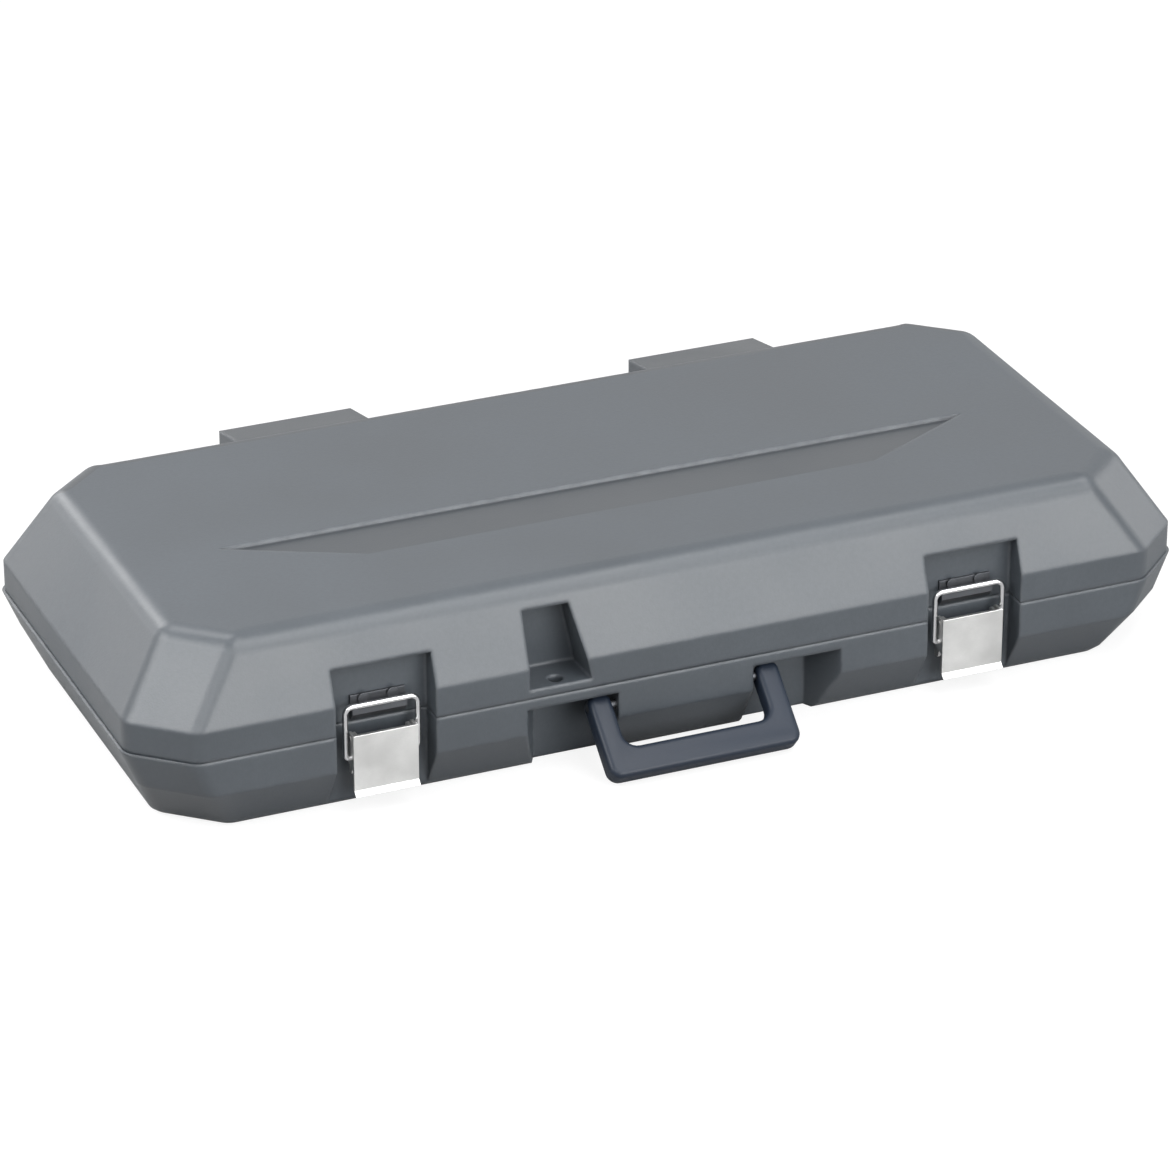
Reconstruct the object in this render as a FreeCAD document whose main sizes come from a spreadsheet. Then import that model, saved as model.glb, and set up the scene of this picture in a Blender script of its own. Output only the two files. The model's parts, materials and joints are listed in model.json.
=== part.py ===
import FreeCAD, Part
import math
import os
import re
import Sketcher

# Driving dimensions of the socket set, in millimetres and degrees
SIZES = {
    # case outline
    "case_length": 600,
    "case_depth": 258,
    "parting_height": 47,
    "parting_gap": 0.3,
    "lid_height": 59,
    "lid_band": 17,
    "lid_inset_front": 16,
    "lid_inset_back": 13,
    "lid_inset_end": 28,
    "lid_edge_radius": 14,
    "base_band": 20.5,
    "base_inset_front": 14,
    "base_inset_end": 18,
    "base_bevel": 3,
    "rim_proud": 1.5,
    "corner_x": 30,
    "corner_y": 27,
    "corner_radius": 12,
    "wall": 4,
    "overrun": 1,
    # shallow wedge recess on the lid
    "panel_rear_half": 216,
    "panel_front_half": 146,
    "panel_rear_y": -13,
    "panel_width": 36,
    "panel_drop": 2,
    # hinge blocks at the rear
    "hinge_spacing": 245,
    "hinge_block_length": 77,
    "hinge_offset": 7,
    "hinge_relief": 10,
    "hinge_back_drop": 8,
    "hinge_base_foot": 12,
    "knuckle_radius": 5.5,
    "knuckle_length": 36,
    "knuckle_gap": 0.5,
    "hinge_pin_radius": 2,
    # latches
    "latch_spacing": 336,
    "latch_pocket_width": 55,
    "latch_pocket_depth": 14,
    "latch_pocket_top": 35,
    "latch_pivot_in": 6.5,
    "latch_pivot_drop": 5.7,
    "latch_pin_radius": 1.5,
    "lever_width": 35.6,
    "lever_length": 30.5,
    "lever_heel": 3.7,
    "lever_standoff": 5.5,
    "lever_lip": 2.5,
    "latch_sheet": 1.5,
    "ear_margin": 3,
    "flange_margin": 3,
    "bail_arm": 11.5,
    "bail_over_centre": 4,
    "bail_length": 29,
    "bail_width": 40,
    "bail_radius": 1.5,
    "bail_bend": 4,
    "bail_end_bend": 2,
    "catch_width": 30,
    "catch_top": 15.6,
    "catch_nose": 10,
    "catch_low": 1.5,
    "bracket_low": 23,
    "bracket_high": 11.3,
    "bracket_rivet_drop": 18,
    "catch_rivet_drop": 2.2,
    "rivet_radius": 1.6,
    "rivet_head_radius": 3,
    "rivet_head": 1.2,
    "rivet_spacing": 16,
    # padlock pocket in the lid, with its hole through both rims
    "padlock_x": -71,
    "padlock_width": 35,
    "padlock_top_width": 26,
    "padlock_floor": 5,
    "padlock_height": 46,
    "padlock_depth": 25,
    "padlock_top_depth": 12,
    "padlock_hole_radius": 4,
    "padlock_hole_in": 8,
    # carry handle and its recesses
    "boss_half": 38.5,
    "recess_half": 90,
    "recess_taper": 12,
    "recess_depth": 22,
    "recess_rim": 6,
    "handle_pivot_in": 5.5,
    "handle_pivot_z": 32,
    "handle_reach": 43,
    "handle_grip": 16,
    "handle_leg": 13,
    "handle_thickness": 12,
    "handle_gap": 3,
    "handle_eye_radius": 5.6,
    "handle_corner": 14,
    "handle_inner_corner": 6,
    "handle_round": 4,
    "handle_droop": 41,
    "handle_pin_radius": 2.5,
    # tray
    "tray_height": 40,
    "tray_sheet": 2,
    "tray_gap": 2,
    "well_gap": 0.5,
    "lane_gap": 6,
    "bed_height": 29,
    "bed_gap": 0.2,
    # sockets and bars, three-quarter inch drive
    "drive_square": 19,
    "drive_length": 20,
    "drive_gap": 0.2,
    "ball_radius": 2.4,
    "ball_proud": 1,
    "drive_well_radius": 14.8,
    "socket_wall": 5,
    "socket_collar_radius": 18,
    "socket_collar": 24,
    "socket_step": 4,
    "socket_base_height": 38,
    "socket_growth": 0.7,
    "socket_web": 8,
    "socket_through_radius": 8,
    "socket_chamfer": 1,
    "bar_radius": 12,
    "bar_end_radius": 17,
    "bar_end_length": 34,
    "bar_neck": 8,
    "bar_round": 2,
    "bar_long": 200,
    "bar_short": 100,
    # ratchet
    "head_radius": 30,
    "head_thickness": 26,
    "neck_length": 46,
    "neck_half": 13,
    "neck_root_half": 28,
    "shank_length": 34,
    "bar_seat": 28,
    "gear_radius": 17.5,
    "gear_teeth": 24,
    "tooth_depth": 1.8,
    "gear_thickness": 12,
    "journal_radius": 13,
    "journal_length": 6,
    "cover_half": 23,
    "cover_side_half": 11.5,
    "cover_tail": 34,
    "cover_tail_half": 9,
    "cover_sheet": 3,
    "running_gap": 0.06,
    "side_gap": 0.4,
    "spindle_radius": 4,
    "spindle_x": 24.5,
    "pawl_radius": 6.5,
    "pawl_notch_half": 2.2,
    "pawl_web": 1,
    "reverser_height": 5,
    "reverser_length": 20,
    "reverser_hub_radius": 8,
    "reverser_root_half": 6.4,
    "reverser_tip_half": 2,
    "reverser_swing": 20,
    "grip_radius": 13,
    "rod_radius": 11,
    "tenon_radius": 9.5,
    "ratchet_length": 470,
    "grip_length": 130,
    "cross_pin_radius": 2,
    "screw_radius": 2.2,
    "screw_length": 9,
    "screw_head_side": 15,
    "screw_neck_x": 17,
    "screw_neck_y": 15.4,
    "fit_gap": 0.02,
}
SOCKET_FLATS = {
    "front": (50, 46, 41, 38, 36, 32, 30, 27),
    "middle": (24, 22, 21, 19),
}

doc = FreeCAD.newDocument("socket_set")
sheet = doc.addObject("Spreadsheet::Sheet", "Sizes")
for row, (alias, size) in enumerate(SIZES.items(), start=1):
    sheet.set("A%d" % row, alias)
    sheet.set("B%d" % row, str(size))
    sheet.setAlias("B%d" % row, alias)
doc.recompute()

SUB_PARTS = []
AXIS_X = FreeCAD.Vector(1, 0, 0)
AXIS_Y = FreeCAD.Vector(0, 1, 0)
AXIS_Z = FreeCAD.Vector(0, 0, 1)
LEVEL_TOLERANCE = 0.01


# Sizes, sketches and features

def sized(text):
    """The expression with every size read from the sheet."""
    def from_sheet(word):
        return "Sizes." + word.group() if word.group() in SIZES else word.group()
    return re.sub(r"[a-z_]+", from_sheet, text)


def number(text):
    """The present value of an expression of sizes."""
    return float(sheet.evalExpression(sized(text)))


def new_body(label):
    body = doc.addObject("PartDesign::Body", label)
    body.Label = label
    SUB_PARTS.append(body)
    return body


def place(part, x="0", y="0", z="0"):
    """Bind a sub-part's position to the sheet."""
    part.setExpression("Placement.Base.x", sized(x))
    part.setExpression("Placement.Base.y", sized(y))
    part.setExpression("Placement.Base.z", sized(z))


def new_sketch(body, name, plane, offset="0"):
    """A sketch on a plane of the body's origin, moved along its normal."""
    sketch = body.newObject("Sketcher::SketchObject", name)
    support = next(feature for feature in body.Origin.OriginFeatures if feature.Role == plane)
    sketch.AttachmentSupport = (support, [""])
    sketch.MapMode = "FlatFace"
    sketch.setExpression("AttachmentOffset.Base.z", sized(offset))
    return sketch


def dimension(sketch, kind, text, *where):
    """A driving constraint bound to an expression of sizes."""
    index = sketch.addConstraint(Sketcher.Constraint(kind, *where, number(text)))
    sketch.setExpression("Constraints[%d]" % index, sized(text))


def pin_point(sketch, geometry, end, x, y):
    dimension(sketch, "DistanceX", x, -1, 1, geometry, end)
    dimension(sketch, "DistanceY", y, -1, 1, geometry, end)


def bend(before, corner, after, radius):
    """The two tangent points and the centre of an arc that rounds a corner."""
    inward = (before - corner).normalize()
    outward = (after - corner).normalize()
    half_angle = inward.getAngle(outward) / 2
    first = corner + inward * (radius / math.tan(half_angle))
    last = corner + outward * (radius / math.tan(half_angle))
    centre = corner + (inward + outward).normalize() * (radius / math.sin(half_angle))
    return first, last, centre


def draw(sketch, corners, radii, closed=True):
    """Lines through the corners, with tangent arcs at the corners that have a radius."""
    points = [FreeCAD.Vector(number(x), number(y), 0) for x, y in corners]
    count = len(points)
    starts = list(points)
    ends = list(points)
    arcs = {}
    for i, radius in radii.items():
        first, last, centre = bend(points[i - 1], points[i], points[(i + 1) % count], number(radius))
        ends[i] = first
        starts[i] = last
        arcs[i] = centre
    line_count = count if closed else count - 1
    lines = []
    for i in range(line_count):
        lines.append(sketch.addGeometry(Part.LineSegment(starts[i], ends[(i + 1) % count])))
    for i in range(count):
        if i in arcs:
            round_corner(sketch, lines[i - 1], lines[i], points[i], ends[i], starts[i], arcs[i],
                         corners[i], radii[i])
        elif closed or 0 < i < count - 1:
            sketch.addConstraint(Sketcher.Constraint("Coincident", lines[i - 1], 2, lines[i], 1))
            pin_point(sketch, lines[i], 1, *corners[i])
        elif i == 0:
            pin_point(sketch, lines[0], 1, *corners[0])
        else:
            pin_point(sketch, lines[-1], 2, *corners[i])


def round_corner(sketch, line_in, line_out, corner, first, last, centre, place_at, radius):
    """A tangent arc between two lines whose carriers meet at a pinned corner."""
    circle = Part.Circle(centre, AXIS_Z, (first - centre).Length)
    turns_left = (corner - first).cross(last - corner).z > 0
    begin, finish = (first, last) if turns_left else (last, first)
    angle_begin = math.atan2(begin.y - centre.y, begin.x - centre.x)
    angle_finish = math.atan2(finish.y - centre.y, finish.x - centre.x)
    arc = sketch.addGeometry(Part.ArcOfCircle(circle, angle_begin, angle_finish))
    mark = sketch.addGeometry(Part.Point(corner), True)
    sketch.addConstraint(Sketcher.Constraint("Tangent", line_in, 2, arc, 1 if turns_left else 2))
    sketch.addConstraint(Sketcher.Constraint("Tangent", line_out, 1, arc, 2 if turns_left else 1))
    pin_point(sketch, mark, 1, *place_at)
    sketch.addConstraint(Sketcher.Constraint("PointOnObject", mark, 1, line_in))
    sketch.addConstraint(Sketcher.Constraint("PointOnObject", mark, 1, line_out))
    dimension(sketch, "Radius", radius, arc)


def outline(body, name, plane, offset, corners, radius=None, rounded=None):
    """A closed sketch; every corner, or the listed ones, are rounded by the radius."""
    sketch = new_sketch(body, name, plane, offset)
    which = range(len(corners)) if rounded is None else rounded
    radii = {i: radius for i in which} if radius else {}
    draw(sketch, corners, radii)
    return sketch


def rectangle(x_low, x_high, y_low, y_high):
    return [(x_low, y_low), (x_high, y_low), (x_high, y_high), (x_low, y_high)]


def circles(body, name, plane, offset, discs):
    """A sketch of circles, each given as x, y and radius."""
    sketch = new_sketch(body, name, plane, offset)
    for x, y, radius in discs:
        centre = FreeCAD.Vector(number(x), number(y), 0)
        index = sketch.addGeometry(Part.Circle(centre, AXIS_Z, number(radius)))
        pin_point(sketch, index, 3, x, y)
        dimension(sketch, "Radius", radius, index)
    return sketch


def pad(body, sketch, length):
    """Material along the sketch's normal."""
    feature = body.newObject("PartDesign::Pad", sketch.Name + "Pad")
    feature.Profile = sketch
    feature.setExpression("Length", sized(length))
    return feature


def cut(body, sketch, length):
    """A pocket along the sketch's normal."""
    feature = body.newObject("PartDesign::Pocket", sketch.Name + "Pocket")
    feature.Profile = sketch
    feature.Reversed = True
    feature.setExpression("Length", sized(length))
    return feature


def loft(body, kind, sketches):
    """A ruled loft, AdditiveLoft or SubtractiveLoft, through the sketches."""
    feature = body.newObject("PartDesign::" + kind, sketches[0].Name + "Loft")
    feature.Profile = sketches[0]
    feature.Sections = sketches[1:]
    feature.Ruled = True
    return feature


def revolve(body, sketch, axis):
    """A full turn of the sketch about its own horizontal or vertical axis."""
    feature = body.newObject("PartDesign::Revolution", sketch.Name + "Turn")
    feature.Profile = sketch
    feature.ReferenceAxis = (sketch, [axis])
    feature.Angle = 360
    return feature


def fillet_level(body, feature, height, radius):
    """Round the edges of a feature that lie flat at the given height."""
    doc.recompute()
    level = number(height)
    names = []
    for i, edge in enumerate(feature.Shape.Edges, start=1):
        heights = (edge.BoundBox.ZMin, edge.BoundBox.ZMax)
        if all(abs(height - level) < LEVEL_TOLERANCE for height in heights):
            names.append("Edge%d" % i)
    rounding = body.newObject("PartDesign::Fillet", feature.Name + "Round")
    rounding.Base = (feature, names)
    rounding.setExpression("Radius", sized(radius))
    return rounding


# Places shared by several sub-parts

FRONT = "(-case_depth / 2)"
BACK = "(case_depth / 2)"
LID_FOOT = "(parting_height + parting_gap / 2)"
BASE_RIM = "(parting_height - parting_gap / 2)"
LID_CREASE = "(parting_height + lid_band)"
LID_TOP = "(parting_height + lid_height)"
BASE_CREASE = "(parting_height - base_band)"
LATCH_FLOOR = "(%s + latch_pocket_depth)" % FRONT
LATCH_HALF = "(latch_pocket_width / 2)"
LEVER_Y = "(%s + latch_pivot_in)" % FRONT
LEVER_Z = "(parting_height - latch_pivot_drop)"
BAIL_Y = "(%s + bail_arm * sin(bail_over_centre))" % LEVER_Y
BAIL_Z = "(%s - bail_arm * cos(bail_over_centre))" % LEVER_Z
HINGE_Y = "(%s + hinge_offset)" % BACK
HINGE_REAR = "(%s + knuckle_radius)" % HINGE_Y
HANDLE_Y = "(%s + handle_pivot_in)" % FRONT
RECESS_TOP = "(%s - recess_rim)" % BASE_RIM
TRAY_FRONT = "(%s + recess_depth + wall + tray_gap)" % FRONT
TRAY_BACK = "(%s - base_inset_front - wall - tray_gap)" % BACK
SIDES = {"left": "-1", "right": "1"}


def lid_front(height):
    """The outer face of the lid's front slope at a height above its crease."""
    slope = "lid_inset_front / (lid_height - lid_band)"
    return "(%s + %s * (%s - %s))" % (FRONT, slope, height, LID_CREASE)


def octagon(half, front, back):
    """A plan outline with its four corners cut."""
    return [
        ("-(%s) + corner_x" % half, front),
        ("%s - corner_x" % half, front),
        (half, "%s + corner_y" % front),
        (half, "%s - corner_y" % back),
        ("%s - corner_x" % half, back),
        ("-(%s) + corner_x" % half, back),
        ("-(%s)" % half, "%s - corner_y" % back),
        ("-(%s)" % half, "%s + corner_y" % front),
    ]


def plan(body, name, height, half, front, back, inset="0"):
    """A rounded plan outline of the case at a height, drawn in by an inset."""
    inner_half = "(%s - %s)" % (half, inset)
    corners = octagon(inner_half, "(%s + %s)" % (front, inset), "(%s - %s)" % (back, inset))
    return outline(body, name, "XY_Plane", height, corners, "corner_radius - %s / 2" % inset)


def latch_rivets(height):
    """The two rivet places of a latch plate at a height, in the plane across the case's front."""
    return [("-rivet_spacing / 2", height), ("rivet_spacing / 2", height)]


BRACKET_RIVETS = latch_rivets("%s - bracket_rivet_drop" % LEVER_Z)
CATCH_RIVETS = latch_rivets("parting_height + catch_top - catch_rivet_drop")


def rivet_holes(body, name, side, places):
    """Rivet holes from the latch pocket's floor through its wall."""
    middle = "%s * latch_spacing / 2" % SIDES[side]
    discs = [("%s + %s" % (middle, x), z, "rivet_radius + fit_gap") for x, z in places]
    sketch = circles(body, name + side, "XZ_Plane", "-(%s + wall + overrun)" % LATCH_FLOOR, discs)
    cut(body, sketch, "wall + 2 * overrun")


# Lid shell

def hinge_block(body, name, side, profile, hollow):
    """A hollow hinge block on the outside of the rear wall."""
    middle = "%s * hinge_spacing / 2" % SIDES[side]
    begin = "%s - hinge_block_length / 2" % middle
    pad(body, outline(body, name + side, "YZ_Plane", begin, profile), "hinge_block_length")
    inside = outline(body, name + "Hollow" + side, "YZ_Plane", begin + " + wall", hollow)
    cut(body, inside, "hinge_block_length - 2 * wall")


def knuckles(body, name, side, own, other):
    """Clear the other half's knuckles, then add this half's knuckles with their pin bore."""
    middle = "%s * hinge_spacing / 2" % SIDES[side]
    for i, (begin, length) in enumerate(other):
        room = circles(body, "%sRoom%s%d" % (name, side, i), "YZ_Plane", "%s + %s" % (middle, begin),
                       [(HINGE_Y, "parting_height", "knuckle_radius + knuckle_gap")])
        cut(body, room, length)
    for i, (begin, length) in enumerate(own):
        disc = circles(body, "%sBarrel%s%d" % (name, side, i), "YZ_Plane", "%s + %s" % (middle, begin),
                       [(HINGE_Y, "parting_height", "knuckle_radius")])
        pad(body, disc, length)
    start = "%s - hinge_block_length / 2 - overrun" % middle
    bore = circles(body, "%sBore%s" % (name, side), "YZ_Plane", start,
                   [(HINGE_Y, "parting_height", "hinge_pin_radius + running_gap")])
    cut(body, bore, "hinge_block_length + 2 * overrun")


LID_KNUCKLES = [("-knuckle_length / 2", "knuckle_length")]
LID_ROOM = [("-knuckle_length / 2 - knuckle_gap", "knuckle_length + 2 * knuckle_gap")]
OUTER_KNUCKLE = "(hinge_block_length - knuckle_length) / 2 - knuckle_gap"
BASE_KNUCKLES = [
    ("-hinge_block_length / 2", OUTER_KNUCKLE),
    ("knuckle_length / 2 + knuckle_gap", OUTER_KNUCKLE),
]
BASE_ROOM = [
    ("-hinge_block_length / 2 - overrun", OUTER_KNUCKLE + " + overrun + knuckle_gap"),
    ("knuckle_length / 2", OUTER_KNUCKLE + " + overrun + knuckle_gap"),
]


def make_lid():
    body = new_body("lid_shell")
    half = "(case_length / 2)"
    top_half = "(case_length / 2 - lid_inset_end)"
    top_front = "(%s + lid_inset_front)" % FRONT
    top_back = "(%s - lid_inset_back)" % BACK
    ceiling = "(%s - wall)" % LID_TOP
    band = plan(body, "LidBand", LID_FOOT, half, FRONT, BACK)
    pad(body, band, "%s - %s" % (LID_CREASE, LID_FOOT))
    crease = plan(body, "LidCrease", LID_CREASE, half, FRONT, BACK)
    plateau = plan(body, "LidPlateau", LID_TOP, top_half, top_front, top_back)
    slope = loft(body, "AdditiveLoft", [crease, plateau])
    fillet_level(body, slope, LID_TOP, "lid_edge_radius")
    cavity = plan(body, "LidCavity", LID_FOOT, half, FRONT, BACK, "wall")
    cut(body, cavity, "%s - %s" % (LID_CREASE, LID_FOOT))
    cavity_low = plan(body, "LidCavityLow", LID_CREASE, half, FRONT, BACK, "wall")
    cavity_top = plan(body, "LidCavityTop", ceiling, top_half, top_front, top_back, "wall")
    hollow = loft(body, "SubtractiveLoft", [cavity_low, cavity_top])
    fillet_level(body, hollow, ceiling, "lid_edge_radius - wall")
    lid_pockets(body)
    lid_panel(body)
    lid_hinges(body)


def lid_pockets(body):
    """Walls, then openings, of the two latch pockets and the padlock pocket."""
    skin = "wall / 2"
    latch_top = "(parting_height + latch_pocket_top)"
    roof = "(%s + wall)" % latch_top
    housing = [
        ("%s + %s" % (FRONT, skin), LID_FOOT),
        ("%s + wall" % LATCH_FLOOR, LID_FOOT),
        ("%s + wall" % LATCH_FLOOR, roof),
        ("%s + %s" % (lid_front(roof), skin), roof),
        ("%s + %s" % (FRONT, skin), LID_CREASE),
    ]
    for side, sign in SIDES.items():
        begin = "%s * latch_spacing / 2 - %s" % (sign, LATCH_HALF)
        block = outline(body, "LidLatchWall" + side, "YZ_Plane", begin + " - wall", housing)
        pad(body, block, "latch_pocket_width + 2 * wall")
        hole = rectangle("%s - overrun" % FRONT, LATCH_FLOOR, "parting_height - overrun", latch_top)
        cut(body, outline(body, "LidLatch" + side, "YZ_Plane", begin, hole), "latch_pocket_width")
        rivet_holes(body, "LidRivets", side, CATCH_RIVETS)
    padlock_pocket(body, skin)


def padlock_pocket(body, skin):
    floor = "(%s + padlock_floor)" % LID_FOOT
    top = "(parting_height + padlock_height)"
    roof = "(%s + wall)" % top
    deep = "(%s + padlock_depth)" % FRONT
    top_deep = "(%s + padlock_top_depth)" % lid_front(top)
    housing = [
        ("%s + %s" % (FRONT, skin), LID_FOOT),
        ("%s + wall" % deep, LID_FOOT),
        ("%s + wall" % deep, floor),
        ("%s + wall" % top_deep, roof),
        ("%s + %s" % (lid_front(roof), skin), roof),
        ("%s + %s" % (FRONT, skin), LID_CREASE),
    ]
    begin = "padlock_x - padlock_width / 2 - wall"
    pad(body, outline(body, "PadlockWall", "YZ_Plane", begin, housing), "padlock_width + 2 * wall")
    left = "padlock_x - padlock_width / 2"
    low = rectangle(left, "padlock_x + padlock_width / 2", "%s - overrun" % FRONT, deep)
    high = rectangle(left, "%s + padlock_top_width" % left, "%s - overrun" % FRONT, top_deep)
    sections = [
        outline(body, "PadlockLow", "XY_Plane", floor, low),
        outline(body, "PadlockHigh", "XY_Plane", top, high),
    ]
    loft(body, "SubtractiveLoft", sections)
    padlock_hole(body, "LidPadlockHole", LID_FOOT, "padlock_floor")


def padlock_hole(body, name, low, thickness):
    """The shackle hole through one of the two rims."""
    disc = [("padlock_x", "%s + padlock_hole_in" % FRONT, "padlock_hole_radius")]
    cut(body, circles(body, name, "XY_Plane", "%s - overrun" % low, disc), "%s + 2 * overrun" % thickness)


def lid_panel(body):
    """The wedge recess on the plateau: a tilted floor that rises to nothing at its front edge."""
    corners = [
        ("-panel_front_half", "-panel_width"),
        ("panel_front_half", "-panel_width"),
        ("panel_rear_half", "0"),
        ("-panel_rear_half", "0"),
    ]
    sketch = new_sketch(body, "Panel", "XY_Plane", "%s - panel_drop" % LID_TOP)
    draw(sketch, corners, {})
    tilt = FreeCAD.Rotation(AXIS_X, -number("panel_drop"))
    sketch.AttachmentOffset = FreeCAD.Placement(FreeCAD.Vector(), tilt)
    sketch.setExpression("AttachmentOffset.Base.y", sized("panel_rear_y"))
    sketch.setExpression("AttachmentOffset.Rotation.Angle", sized("-asin(panel_drop / panel_width)"))
    cut(body, sketch, "2 * panel_drop")


def lid_hinges(body):
    """The two hinge blocks, flush with the plateau and falling gently to their rear face."""
    skin = "wall / 2"
    rear_top = "(%s - hinge_back_drop)" % LID_TOP
    plateau_back = "(%s - lid_inset_back)" % BACK
    shoulder = "(%s - lid_edge_radius)" % plateau_back
    profile = [
        (shoulder, LID_TOP),
        (shoulder, "%s - %s" % (LID_TOP, skin)),
        ("%s - %s" % (plateau_back, skin), "%s - wall - %s" % (LID_TOP, skin)),
        ("%s - %s" % (BACK, skin), LID_CREASE),
        ("%s - %s" % (BACK, skin), LID_FOOT),
        (HINGE_Y, LID_FOOT),
        (HINGE_REAR, "%s + hinge_relief" % LID_FOOT),
        (HINGE_REAR, rear_top),
    ]
    hollow = [
        ("%s - wall" % plateau_back, "%s - wall - hinge_back_drop / 2" % LID_TOP),
        ("%s - 2 * wall" % BACK, LID_CREASE),
        ("%s - wall" % HINGE_REAR, LID_CREASE),
        ("%s - wall" % HINGE_REAR, "%s - wall" % rear_top),
    ]
    for side in SIDES:
        hinge_block(body, "LidHinge", side, profile, hollow)
        knuckles(body, "LidHinge", side, LID_KNUCKLES, BASE_ROOM)


# Base shell

def make_base():
    body = new_body("base_shell")
    half_low = "(case_length / 2 - base_inset_end)"
    half_top = "(case_length / 2 + rim_proud)"
    half_mid = "(%s - (%s - %s) * base_band / parting_height)" % (half_top, half_top, half_low)
    low_front = "(%s + base_inset_front)" % FRONT
    low_back = "(%s - base_inset_front)" % BACK
    foot_plan = plan(body, "BaseFoot", "0", half_low, low_front, low_back, "base_bevel")
    low_plan = plan(body, "BaseLow", "base_bevel", half_low, low_front, low_back)
    loft(body, "AdditiveLoft", [foot_plan, low_plan])
    side_plan = plan(body, "BaseSide", "base_bevel", half_low, low_front, low_back)
    crease_plan = plan(body, "BaseCrease", BASE_CREASE, half_mid, FRONT, BACK)
    loft(body, "AdditiveLoft", [side_plan, crease_plan])
    band_plan = plan(body, "BaseBand", BASE_CREASE, half_mid, FRONT, BACK)
    rim_plan = plan(body, "BaseRim", BASE_RIM, half_top, FRONT, BACK)
    loft(body, "AdditiveLoft", [band_plan, rim_plan])
    inner_floor = plan(body, "BaseInnerFloor", "wall", half_low, low_front, low_back, "wall")
    inner_crease = plan(body, "BaseInnerCrease", BASE_CREASE, half_mid, FRONT, BACK, "wall")
    loft(body, "SubtractiveLoft", [inner_floor, inner_crease])
    inner_band = plan(body, "BaseInnerBand", BASE_CREASE, half_mid, FRONT, BACK, "wall")
    inner_rim = plan(body, "BaseInnerRim", BASE_RIM, half_top, FRONT, BACK, "wall")
    loft(body, "SubtractiveLoft", [inner_band, inner_rim])
    base_pockets(body)
    base_hinges(body)


def front_housing(depth):
    """Inner walls of a pocket in the front of the base, in side view."""
    skin = "wall / 2"
    back = "%s + %s + wall" % (FRONT, depth)
    return [
        ("%s + %s" % (FRONT, skin), BASE_RIM),
        ("%s + %s" % (FRONT, skin), BASE_CREASE),
        ("%s + base_inset_front + %s" % (FRONT, skin), skin),
        (back, skin),
        (back, BASE_RIM),
    ]


def base_pockets(body):
    """Latch pockets, handle recesses on both sides of the boss, and the padlock hole."""
    for side, sign in SIDES.items():
        begin = "%s * latch_spacing / 2 - %s" % (sign, LATCH_HALF)
        housing = front_housing("latch_pocket_depth")
        walls = outline(body, "BaseLatchWall" + side, "YZ_Plane", begin + " - wall", housing)
        pad(body, walls, "latch_pocket_width + 2 * wall")
        hole = rectangle("%s - overrun" % FRONT, LATCH_FLOOR, "-overrun", "parting_height + overrun")
        cut(body, outline(body, "BaseLatch" + side, "YZ_Plane", begin, hole), "latch_pocket_width")
        rivet_holes(body, "BaseRivets", side, BRACKET_RIVETS)
        low = "boss_half - wall" if side == "right" else "-recess_half - wall"
        walls = outline(body, "RecessWall" + side, "YZ_Plane", low, front_housing("recess_depth"))
        pad(body, walls, "recess_half - boss_half + 2 * wall")
        plan_view = [
            ("%s * boss_half" % sign, "%s - overrun" % FRONT),
            ("%s * (recess_half + overrun * recess_taper / recess_depth)" % sign, "%s - overrun" % FRONT),
            ("%s * (recess_half - recess_taper)" % sign, "%s + recess_depth" % FRONT),
            ("%s * boss_half" % sign, "%s + recess_depth" % FRONT),
        ]
        recess = outline(body, "Recess" + side, "XY_Plane", "-overrun", plan_view)
        cut(body, recess, "%s + overrun" % RECESS_TOP)
        disc = [(HANDLE_Y, "handle_pivot_z", "handle_pin_radius + fit_gap")]
        start = "boss_half - wall - overrun" if side == "right" else "-boss_half - overrun"
        cut(body, circles(body, "HandlePinHole" + side, "YZ_Plane", start, disc), "wall + 2 * overrun")
    padlock_hole(body, "BasePadlockHole", RECESS_TOP, "recess_rim")


def base_hinges(body):
    """The lower halves of the hinge blocks, standing level with the lid's."""
    skin = "wall / 2"
    low_back = "(%s - base_inset_front)" % BACK
    foot = "hinge_base_foot"
    profile = [
        ("%s - %s" % (BACK, skin), BASE_RIM),
        ("%s - %s" % (BACK, skin), BASE_CREASE),
        ("%s - %s" % (low_back, skin), skin),
        (HINGE_REAR, foot),
        (HINGE_REAR, "%s - hinge_relief" % BASE_RIM),
        (HINGE_Y, BASE_RIM),
    ]
    hollow = [
        ("%s - 2 * wall" % BACK, "%s - hinge_relief - wall" % BASE_RIM),
        ("%s - 2 * wall" % BACK, BASE_CREASE),
        ("%s - 2 * wall" % BACK, "%s + wall" % foot),
        ("%s - wall" % HINGE_REAR, "%s + wall" % foot),
        ("%s - wall" % HINGE_REAR, "%s - hinge_relief - wall" % BASE_RIM),
    ]
    for side in SIDES:
        hinge_block(body, "BaseHinge", side, profile, hollow)
        knuckles(body, "BaseHinge", side, BASE_KNUCKLES, LID_ROOM)


def cylinder_x(label, radius, length, x, y, z):
    """A round pin along X, centred on the given point."""
    pin = doc.addObject("Part::Cylinder", label)
    pin.Label = label
    pin.setExpression("Radius", sized(radius))
    pin.setExpression("Height", sized(length))
    pin.Placement = FreeCAD.Placement(FreeCAD.Vector(), FreeCAD.Rotation(AXIS_Y, 90))
    place(pin, "%s - (%s) / 2" % (x, length), y, z)
    SUB_PARTS.append(pin)


def make_hinge_pins():
    for side, sign in SIDES.items():
        cylinder_x("hinge_pin_" + side, "hinge_pin_radius", "hinge_block_length",
                   "%s * hinge_spacing / 2" % sign, HINGE_Y, "parting_height")


# Draw latches: bracket, lever, bail, pin, catch and rivets

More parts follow.
